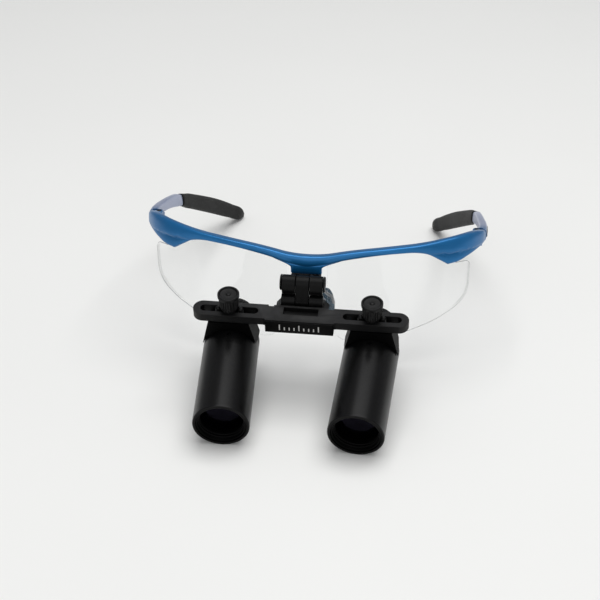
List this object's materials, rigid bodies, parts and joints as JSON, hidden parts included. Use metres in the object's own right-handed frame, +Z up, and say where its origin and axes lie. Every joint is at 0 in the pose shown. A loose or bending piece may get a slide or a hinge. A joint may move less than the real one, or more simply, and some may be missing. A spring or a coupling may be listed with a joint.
{
  "type": "dental loupes",
  "caption": "Binocular magnifying loupes: black telescopes on a slotted crossbar and flip-up hinge, carried by a blue half-rim spectacle frame with clear lenses.",
  "frame": {"origin": "centre of the bounding box at bench level, with the part standing on the front rims of the telescopes and on the temple tips", "axes": "+Y from the telescopes back along the temples, +Z up from the bench, +X across the face; left in the names is the -X side, on the left of someone who looks at the telescopes' front"},
  "size_m": [0.1494, 0.2126, 0.0618],
  "materials": {
    "blue_lacquer": "gloss",
    "clear_polycarbonate": "gloss",
    "grey_rubber": "matte",
    "black_anodised": "satin",
    "matt_black": "matte",
    "steel": "satin",
    "coated_glass": "gloss",
    "soft_silicone": "satin",
    "plate_black": "matte"
  },
  "bodies": {
    "frame": {"brow_frame": "blue_lacquer", "lens_left": "clear_polycarbonate", "lens_right": "clear_polycarbonate", "nose_clip": "matt_black", "pad_arm_left": "steel", "pad_arm_right": "steel", "bridge_bracket": "black_anodised", "bracket_screw_left": "steel", "bracket_screw_right": "steel", "upper_pin": "black_anodised", "temple_pin_left": "steel", "temple_pin_right": "steel"},
    "temple_arm_left": {"temple_left": "blue_lacquer", "temple_tip_left": "grey_rubber", "temple_inlay_left": "matt_black"},
    "temple_arm_right": {"temple_right": "blue_lacquer", "temple_tip_right": "grey_rubber", "temple_inlay_right": "matt_black"},
    "pad_left": {"nose_pad_left": "soft_silicone"},
    "pad_right": {"nose_pad_right": "soft_silicone"},
    "link": {"hinge_link": "black_anodised"},
    "bar": {"hinge_carriage": "black_anodised", "lower_pin": "black_anodised", "carriage_screw_left": "steel", "carriage_screw_right": "steel", "crossbar": "black_anodised", "scale_plate": "plate_black"},
    "telescope_left": {"scope_saddle_left": "black_anodised", "guide_pin_left_inner": "black_anodised", "guide_pin_left_outer": "black_anodised", "barrel_left": "black_anodised", "lens_ring_left": "black_anodised", "objective_lens_left": "coated_glass", "rear_housing_left": "black_anodised", "erecting_prism_left": "coated_glass", "eyepiece_ring_left": "matt_black", "ocular_lens_left": "coated_glass", "grub_screw_left": "steel"},
    "knob_left": {"clamp_knob_left": "black_anodised", "clamp_screw_left": "steel"},
    "telescope_right": {"scope_saddle_right": "black_anodised", "guide_pin_right_inner": "black_anodised", "guide_pin_right_outer": "black_anodised", "barrel_right": "black_anodised", "lens_ring_right": "black_anodised", "objective_lens_right": "coated_glass", "rear_housing_right": "black_anodised", "erecting_prism_right": "coated_glass", "eyepiece_ring_right": "matt_black", "ocular_lens_right": "coated_glass", "grub_screw_right": "steel"},
    "knob_right": {"clamp_knob_right": "black_anodised", "clamp_screw_right": "steel"}
  },
  "joints": [
    {"name": "temple_fold_left", "type": "hinge", "parent": "frame", "child": "temple_arm_left", "pos_m": [-0.0704, -0.00577, 0.04947], "axis": [0, -0.1642, -0.9864], "range_deg": [0, 82]},
    {"name": "temple_fold_right", "type": "hinge", "parent": "frame", "child": "temple_arm_right", "pos_m": [0.0704, -0.00577, 0.04947], "axis": [0, 0.1642, 0.9864], "range_deg": [0, 74]},
    {"name": "flip_up", "type": "hinge", "parent": "frame", "child": "link", "pos_m": [0, -0.05535, 0.05124], "axis": [-1, 0, 0], "range_deg": [0, 70]},
    {"name": "declination", "type": "hinge", "parent": "link", "child": "bar", "pos_m": [0, -0.0563, 0.04369], "axis": [-1, 0, 0], "range_deg": [0, 15]},
    {"name": "pupil_slide_left", "type": "slide", "parent": "bar", "child": "telescope_left", "axis": [1, 0, 0], "range_m": [-0.0055, 0.0055]},
    {"name": "clamp_turn_left", "type": "hinge", "parent": "telescope_left", "child": "knob_left", "pos_m": [-0.0293, -0.06298, 0.04009], "axis": [0, -0.2512, 0.9679], "range_deg": [0, 300]},
    {"name": "pad_rock_left", "type": "hinge", "parent": "frame", "child": "pad_left", "pos_m": [-0.0087, -0.03256, 0.03041], "axis": [0, 0.1642, 0.9864], "range_deg": [-8, 8]},
    {"name": "pupil_slide_right", "type": "slide", "parent": "bar", "child": "telescope_right", "axis": [1, 0, 0], "range_m": [-0.0055, 0.0055]},
    {"name": "clamp_turn_right", "type": "hinge", "parent": "telescope_right", "child": "knob_right", "pos_m": [0.0293, -0.06298, 0.04009], "axis": [0, -0.2512, 0.9679], "range_deg": [0, 300]},
    {"name": "pad_rock_right", "type": "hinge", "parent": "frame", "child": "pad_right", "pos_m": [0.0087, -0.03256, 0.03041], "axis": [0, 0.1642, 0.9864], "range_deg": [-8, 8]}
  ]
}
